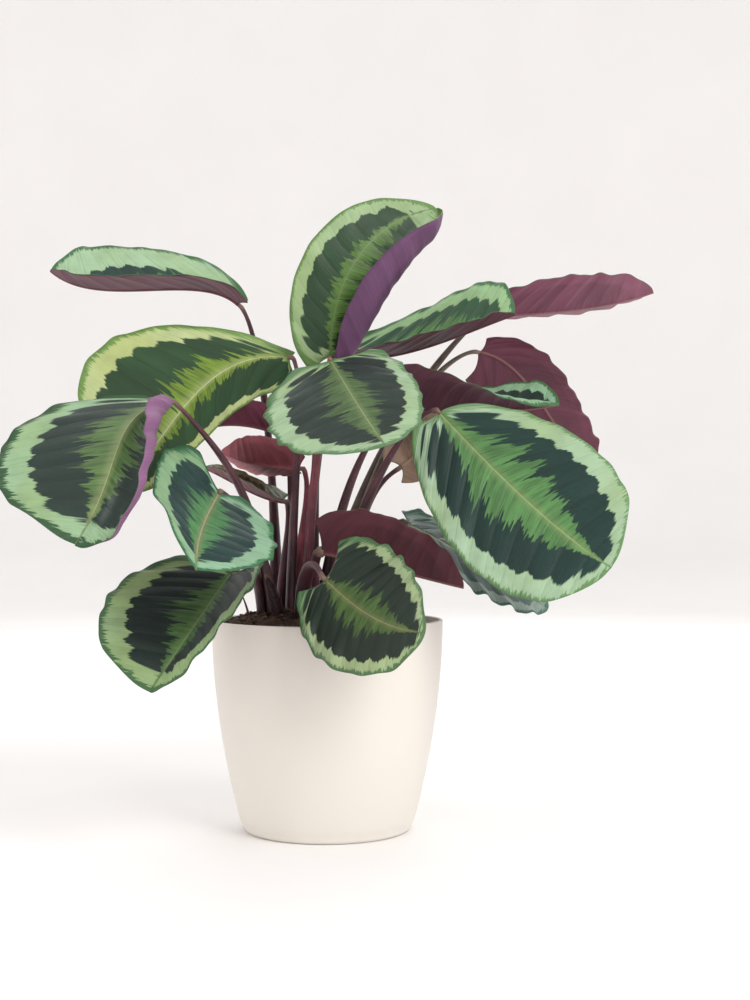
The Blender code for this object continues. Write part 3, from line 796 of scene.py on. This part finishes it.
def blade_faces(high, wide):
    """Faces of the upper side, the lower side and the edge of a closed blade."""
    index = np.arange(high * wide).reshape(high, wide)
    a, b, c, d = index[:-1, :-1], index[:-1, 1:], index[1:, 1:], index[1:, :-1]
    top = np.stack([a, b, c, d], -1).reshape(-1, 4)
    under = np.stack([a, d, c, b], -1).reshape(-1, 4) + high * wide
    border = np.concatenate([index[0, :-1], index[:-1, -1], index[-1, :0:-1], index[:0:-1, 0]])
    following = np.roll(border, -1)
    rim = np.stack([following, border, border + high * wide, following + high * wide], -1)
    return top, under, rim


def blade_maps(leaf, columns, rows, faces, rim_start):
    """The maps of a blade: place on the leaf, zones of its pattern, and the map for baking."""
    u_of = np.array(rows)[:, None]
    side = np.array([q if half else -q for half, q in columns])
    lean = [0.5 + PATTERN_LEAN * (widest - 0.5) for widest in leaf.widest]
    full = np.array([[full_outline(u, lean[half]) for half, q in columns] for u in rows])
    share = np.abs(side)[None, :]
    rho = np.sqrt((2 * full[..., 1] - 1) ** 2 + (share * full[..., 0]) ** (1 / OUTLINE_POWER))
    pinched = np.array([[outline(u, leaf.widest[half]) for half, q in columns] for u in rows])
    leaf_map = np.stack([np.broadcast_to(u_of, rho.shape), np.broadcast_to(side, rho.shape)], -1)
    zone_map = np.stack([rho, share * pinched], -1)
    coordinates, zones = (np.concatenate([m.reshape(-1, 2)] * 2)[faces]
                          for m in (leaf_map, zone_map))
    zones[rim_start:, :, 0] = 1.0
    island = np.stack([BAKE_MIDDLE + BAKE_HALF_WIDTH * side[None, :] + 0 * u_of,
                       BAKE_MARGIN + (1 - 2 * BAKE_MARGIN) * u_of + 0 * side], -1).reshape(-1, 2)
    bake = np.concatenate([island, island + (0.5, 0.0)])[faces]
    edge = bake[rim_start:]
    outward = BAKE_RIM * np.sign(edge - (BAKE_MIDDLE, 0.5))
    edge[:, :2] += outward[:, :2]
    edge[:, 2:] = edge[:, 1::-1] + outward[:, 1::-1]
    return ("Leaf", coordinates), ("Zones", zones), ("OFBake", bake)


def add_blade(name, leaf, look, materials, seed, ridge):
    """A closed blade: the quilted upper face, the lower face with its midrib, and the edge."""
    columns, middle = blade_columns(leaf)
    rows = [(1 - cos(pi * i / BLADE_ROWS)) / 2 for i in range(BLADE_ROWS + 1)]
    lift, swell = wave_maker(look, seed)
    flat = np.array([[blade_point(leaf, u, q, half) for half, q in columns] for u in rows])
    spread = np.array([[swell(u, q, half) for half, q in columns] for u in rows])
    centre = flat[:, middle:middle + 1]
    flat = centre + (flat - centre) * spread[..., None]
    normal = np.cross(np.gradient(flat, axis=1), np.gradient(flat, axis=0))
    normal /= np.maximum(np.linalg.norm(normal, axis=2, keepdims=True), 1e-12)
    raised = np.array([[lift(u, q, half) for half, q in columns] for u in rows])
    away = np.linalg.norm(flat - centre, axis=2)
    groove = GROOVE_DEPTH * np.exp(-(away / GROOVE_WIDTH) ** 2)
    upper = flat + normal * (raised - groove)[..., None]
    thinning = 1 - RIDGE_THINNING * np.array(rows)[:, None]
    keel = ridge * thinning * np.exp(-(away / (RIDGE_SPREAD * ridge)) ** 2)
    lower = upper - normal * (BLADE_THICKNESS + keel)[..., None]

    top, under, rim = blade_faces(len(rows), len(columns))
    faces = np.concatenate([top, under, rim])
    maps = blade_maps(leaf, columns, rows, faces, len(top) + len(under))
    slots = np.concatenate([np.zeros(len(top)), np.ones(len(under)), np.zeros(len(rim))])
    points = np.concatenate([upper.reshape(-1, 3), lower.reshape(-1, 3)])
    return mesh_object(name, points, faces.tolist(), materials, slots.astype(np.int32), maps)


def add_tube(name, route, radii, flatness, material):
    """A tube of varying radius; flatness gives how much wider than deep each ring is."""
    sides = TUBE_SIDES
    forward = (route[1] - route[0]).normalized()
    outward = Vector((route[0].x, route[0].y, 0))
    across = forward.cross(outward).normalized()
    points, spots = [], []
    for i, place in enumerate(route):
        ahead = (route[min(i + 1, len(route) - 1)] - route[max(i - 1, 0)]).normalized()
        across = forward.rotation_difference(ahead).to_matrix() @ across
        forward = ahead
        other = forward.cross(across).normalized()
        for j in range(sides):
            angle = 2 * pi * j / sides
            points.append(place + radii[i] * (flatness[i] * cos(angle) * across
                                              + sin(angle) * other))
        spots.append(i / (len(route) - 1))
    faces, maps = [], []
    for i in range(len(route) - 1):
        for j in range(sides):
            k = (j + 1) % sides
            faces.append((i * sides + j, i * sides + k, (i + 1) * sides + k, (i + 1) * sides + j))
            turns = (2 * pi * j / sides, 2 * pi * (j + 1) / sides)
            maps += [(spots[i], turns[0]), (spots[i], turns[1]), (spots[i + 1], turns[1]),
                     (spots[i + 1], turns[0])]
    last = (len(route) - 1) * sides
    for ring, place, spot in ((range(sides - 1, -1, -1), route[0], 0.0),
                              (range(last, last + sides), route[-1], 1.0)):
        faces.append(tuple(ring))
        maps += [(spot, 0.0)] * sides
    return mesh_object(name, points, faces, [material], maps=(("Leaf", maps),))


def soil_height(x, y):
    """Height of the soil's lumpy top."""
    r = (x * x + y * y) ** 0.5 / POT_RIM_RADIUS
    lumps = SOIL_LUMP * sin(SOIL_WAVES[0] * x + 1.0) * sin(SOIL_WAVES[1] * y + 2.0)
    return SOIL_LEVEL + SOIL_CROWN * (1 - r * r) + lumps


def mound(x, y):
    """The finer soil surface: crumbs and a low mound round the foot of the clump."""
    away = ((x - MOUND_CENTRE[0]) ** 2 + (y - MOUND_CENTRE[1]) ** 2) ** 0.5
    near = 1 - smoothstep(away / MOUND_RADIUS)
    crumbs = noise.fractal(Vector((x, y, 0.0)) * CRUMB_SCALE, *CRUMB_OCTAVES)
    return soil_height(x, y) + MOUND_HEIGHT * near + CRUMB_HEIGHT * crumbs


def add_stalk(number, leaf, look):
    """A stalk from its root in the soil, through the knee, to the base of its blade."""
    base, direction = curve_through(leaf.spine, 0.0)
    knee = base - direction * KNEE
    foot = Vector((*leaf.root, soil_height(*leaf.root)))
    handle_1, handle_2 = foot + Vector(leaf.rise), knee - Vector(leaf.arrive)
    steps = [i / (STALK_STEPS - 1) for i in range(STALK_STEPS)]
    route = [foot - Vector((0, 0, ROOT_DEPTH))]
    route += [bezier(foot, handle_1, handle_2, knee, t)[0] for t in steps]
    route += [base + direction * STALK_SEAT]
    climb = np.cumsum([0.0] + [(b - a).length for a, b in zip(route, route[1:])]).tolist()
    radii, flatness = [], []
    for at in climb:
        rest = climb[-1] - at
        sheath = 1 - smoothstep(at / STALK_SHEATH_REACH)
        swollen = smoothstep(1 - rest / KNEE_BULGE_REACH) * smoothstep(rest / KNEE_BULGE_END)
        radii.append(STALK_RADIUS + STALK_BODY_SWELL * smoothstep(rest / STALK_BODY_REACH)
                     + STALK_SHEATH_SWELL * sheath + KNEE_BULGE * swollen)
        flatness.append(STALK_FLATNESS + SHEATH_FLATNESS * sheath)
    material = stalk_material(f"stalk_skin_{number}", look.stalk)
    obj = add_tube(f"stalk_{number}", route, radii, flatness, material)
    set_piece(obj, "stalk", f"leaf_stalk_{number}")


def add_sheath(number, points, material):
    """A dry sheath: a narrow blade rolled about its own length."""
    lift = soil_height(*points[0][:2]) + 2 * GAP
    spine = tuple((x, y, z + lift) for x, y, z in points)
    sheath = Leaf(spine=spine, left=(-SHEATH_HALF_WIDTH, 0, 0), right=(SHEATH_HALF_WIDTH, 0, 0),
                  curl=((SHEATH_CURL, SHEATH_CURL),) * 2, widest=(0.3, 0.3), lobe=(0.0, 0.0),
                  root=(), rise=(), arrive=())
    dry = Look(ruffle=0.0005, waves=3.0, scallop=0.01)
    obj = add_blade(f"sheath_{number}", sheath, dry, [material, material],
                    SHEATH_SEED + int(number), SHEATH_RIDGE)
    set_piece(obj, "stalk", f"basal_sheath_{number}")


def add_shoot(material):
    """The bare young shoot, slightly bowed, from its root to its tip."""
    foot = Vector((*SHOOT_FOOT, soil_height(*SHOOT_FOOT)))
    tip = foot + Vector(SHOOT_LEAN)
    steps = [i / (SHOOT_STEPS - 1) for i in range(SHOOT_STEPS)]
    route = [foot - Vector((0, 0, ROOT_DEPTH))]
    route += [foot.lerp(tip, t) + Vector((SHOOT_BOW * sin(pi * t), 0, 0)) for t in steps]
    taper = [SHOOT_TIP + (SHOOT_RADIUS - SHOOT_TIP) * (1 - t) ** SHOOT_BLUNTNESS for t in steps]
    radii = [SHOOT_ROOT] + taper
    shoot = add_tube("shoot", route, radii, [1.0] * len(route), material)
    set_piece(shoot, "stalk", "young_shoot")


def pot_radius(z):
    """Outer radius of the pot at height z: the flare fades out towards the rim."""
    rise = 1 - (1 - z / POT_HEIGHT) ** POT_FLARE
    return POT_FOOT_RADIUS + (POT_RIM_RADIUS - POT_FOOT_RADIUS) * rise


def arc_points(centre, radius, start, end, count):
    """Points along an arc in the profile plane, from start to end in degrees."""
    angles = [radians(start + (end - start) * i / (count - 1)) for i in range(count)]
    return [(centre[0] + radius * cos(a), centre[1] + radius * sin(a)) for a in angles]


def turned_object(name, profile, material, steps):
    """Spin a profile of (radius, height) points that starts and ends on the axis."""
    ring = [(r, z) for r, z in profile if r > 0]
    points = [(r * cos(2 * pi * k / steps), r * sin(2 * pi * k / steps), z)
              for r, z in ring for k in range(steps)]
    faces = [(i * steps + k, (i + 1) * steps + k, (i + 1) * steps + (k + 1) % steps,
              i * steps + (k + 1) % steps) for i in range(len(ring) - 1) for k in range(steps)]
    first, last = len(points), len(points) + 1
    points += [(0, 0, profile[0][1]), (0, 0, profile[-1][1])]
    end = (len(ring) - 1) * steps
    for k in range(steps):
        faces.append((first, k, (k + 1) % steps))
        faces.append((last, end + (k + 1) % steps, end + k))
    return mesh_object(name, points, faces, [material])


def add_pot():
    """The pot's shell: floor, rounded inner corner, wall, lip, outside and rounded foot."""
    heights = [POT_HEIGHT * i / POT_RINGS for i in range(2, POT_RINGS - 1)]
    floor_radius = pot_radius(POT_FLOOR) - POT_WALL
    inner_top = POT_RIM_RADIUS - POT_WALL
    rim = POT_RIM_ROUNDING
    profile = [(0.0, POT_FLOOR), (floor_radius - POT_FLOOR_EDGE, POT_FLOOR)]
    fillet_centre = (floor_radius - POT_FILLET, POT_FLOOR + POT_FILLET)
    profile += arc_points(fillet_centre, POT_FILLET, -90, 0, 5)
    profile += [(pot_radius(z) - POT_WALL, z) for z in heights]
    profile += arc_points((inner_top + rim, POT_HEIGHT - rim), rim, 180, 90, 7)
    profile += arc_points((POT_RIM_RADIUS - rim, POT_HEIGHT - rim), rim, 90, 0, 7)
    profile += [(pot_radius(z), z) for z in reversed(heights)]
    profile += arc_points((POT_FOOT_RADIUS - POT_CORNER, POT_CORNER), POT_CORNER, 0, -90, 9)
    profile += [(POT_FOOT_RADIUS * 0.5, 0.0), (0.0, 0.0)]
    set_piece(turned_object("pot_shell", profile, pot_material(), POT_SIDES), "pot", "pot")


def add_soil():
    """The soil plug with its crumbly top, and the loose grains on it."""
    inset = POT_WALL + GAP
    base = POT_FLOOR + GAP
    levels = [base + (SOIL_LEVEL - base) * i / SOIL_RINGS for i in range(1, SOIL_RINGS + 1)]
    outer = pot_radius(SOIL_LEVEL) - inset
    top = [(outer * i / SOIL_TOP_RINGS, SOIL_LEVEL) for i in range(SOIL_TOP_RINGS)]
    side = [(pot_radius(z) - inset, z) for z in reversed(levels)]
    side.append((pot_radius(base + SOIL_BEVEL) - inset, base + SOIL_BEVEL))
    side.append((pot_radius(base) - inset - SOIL_BEVEL, base))
    body = turned_object("soil_body", top + side + [(0.0, base)],
                         soil_material("soil_peat", *PEAT), SOIL_SIDES)
    for vertex in body.data.vertices:
        x, y, z = vertex.co
        if z > SOIL_LEVEL - GAP:
            vertex.co.z = mound(x, y)
    body.data.update()
    set_piece(body, "soil", "soil")
    add_grains(outer - GRAIN_MARGIN)


def add_grains(radius):
    """Loose grains scattered on the soil out to the radius, most of them small."""
    draw = Random(GRAIN_SEED)
    points, faces = [], []
    unit = [Vector(corner).normalized() for corner in GRAIN_CORNERS]
    for _ in range(GRAINS):
        r = radius * draw.random() ** 0.6
        angle = draw.uniform(0, 2 * pi)
        x, y = r * cos(angle), r * sin(angle)
        size = GRAIN_SMALLEST + GRAIN_SPREAD * draw.random() ** 2.5
        turn = Matrix.Rotation(draw.uniform(0, 2 * pi), 3, "Z")
        spin = turn @ Matrix.Rotation(draw.uniform(-GRAIN_TILT, GRAIN_TILT), 3, "X")
        stretch = Vector([draw.uniform(*limits) for limits in GRAIN_STRETCH])
        centre = Vector((x, y, mound(x, y) + size * GRAIN_LIFT))
        start = len(points)
        for corner in unit:
            rough = corner * size * draw.uniform(*GRAIN_ROUGHNESS)
            points.append(centre + spin @ Vector(a * b for a, b in zip(rough, stretch)))
        faces += [tuple(start + k for k in face) for face in GRAIN_FACES]
    grains = mesh_object("soil_grains", points, faces, [soil_material("soil_bark", *BARK)])
    set_piece(grains, "soil")


# ---------------------------------------------------------------- studio


def add_floor():
    """A pale floor that curves up far away on all sides."""
    profile = [(r, 0.0) for r in FLOOR_RINGS]
    profile += arc_points((STUDIO_WALL - STUDIO_BEND, STUDIO_BEND), STUDIO_BEND, -90, 0, 16)
    profile += [(STUDIO_WALL, STUDIO_TOP)]
    g = Graph("floor_paper")
    mottle = g.noise(g.object_place(), 3.0, 2.0)
    colour = g.mix(g.ramp(mottle, -0.3, 0.3), linear(FLOOR[0]), linear(FLOOR[1]))
    material = g.finish(colour, 0.9, Specular_IOR_Level=0.1)
    steps = STUDIO_SIDES
    points = [(r * cos(2 * pi * k / steps), r * sin(2 * pi * k / steps), z)
              for r, z in profile for k in range(steps)] + [(0, 0, 0)]
    faces = [(i * steps + k, i * steps + (k + 1) % steps, (i + 1) * steps + (k + 1) % steps,
              (i + 1) * steps + k) for i in range(len(profile) - 1) for k in range(steps)]
    faces += [(len(points) - 1, (k + 1) % steps, k) for k in range(steps)]
    mesh_object("studio_floor", points, faces, [material])


def add_lights():
    """Even white air and three soft lights that face the plant."""
    world = bpy.data.worlds.new("studio_air")
    world.use_nodes = True
    background = world.node_tree.nodes["Background"]
    background.inputs["Color"].default_value = AIR_COLOUR
    background.inputs["Strength"].default_value = AIR_STRENGTH
    bpy.context.scene.world = world
    for name, place, size, energy, colour in LIGHTS:
        light = bpy.data.lights.new(name, "AREA")
        light.shape = "SQUARE"
        light.size = size
        light.energy = energy
        light.color = colour
        lamp = bpy.data.objects.new(name, light)
        lamp.location = place
        aim = Vector(LIGHT_TARGET) - Vector(place)
        lamp.rotation_euler = aim.to_track_quat("-Z", "Y").to_euler()
        bpy.context.scene.collection.objects.link(lamp)


def add_camera():
    """The camera in front of the pot, with colours shown as they are."""
    camera = bpy.data.objects.new("camera", bpy.data.cameras.new("camera"))
    camera.data.sensor_width = CAMERA_SENSOR
    camera.data.lens = CAMERA_LENS
    camera.location = CAMERA_PLACE
    camera.rotation_euler = [radians(angle) for angle in CAMERA_ANGLES]
    bpy.context.scene.collection.objects.link(camera)
    bpy.context.scene.camera = camera
    bpy.context.scene.view_settings.view_transform = "Standard"


def main():
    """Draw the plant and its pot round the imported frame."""
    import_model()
    add_floor()
    add_lights()
    add_camera()
    add_pot()
    add_soil()
    for number, leaf in LEAVES.items():
        look, seed = LOOKS[number], int(number)
        add_stalk(number, leaf, look)
        materials = [upper_material(number, look, seed), under_material(number, look, seed)]
        blade = add_blade(f"blade_{number}", leaf, look, materials, seed, BLADE_RIDGE)
        set_piece(blade, "leaf", f"leaf_blade_{number}")
    husk = stalk_material("sheath_skin", HUSK)
    for number, points in SHEATHS.items():
        add_sheath(number, points, husk)
    add_shoot(stalk_material("shoot_skin", SHOOT))


main()
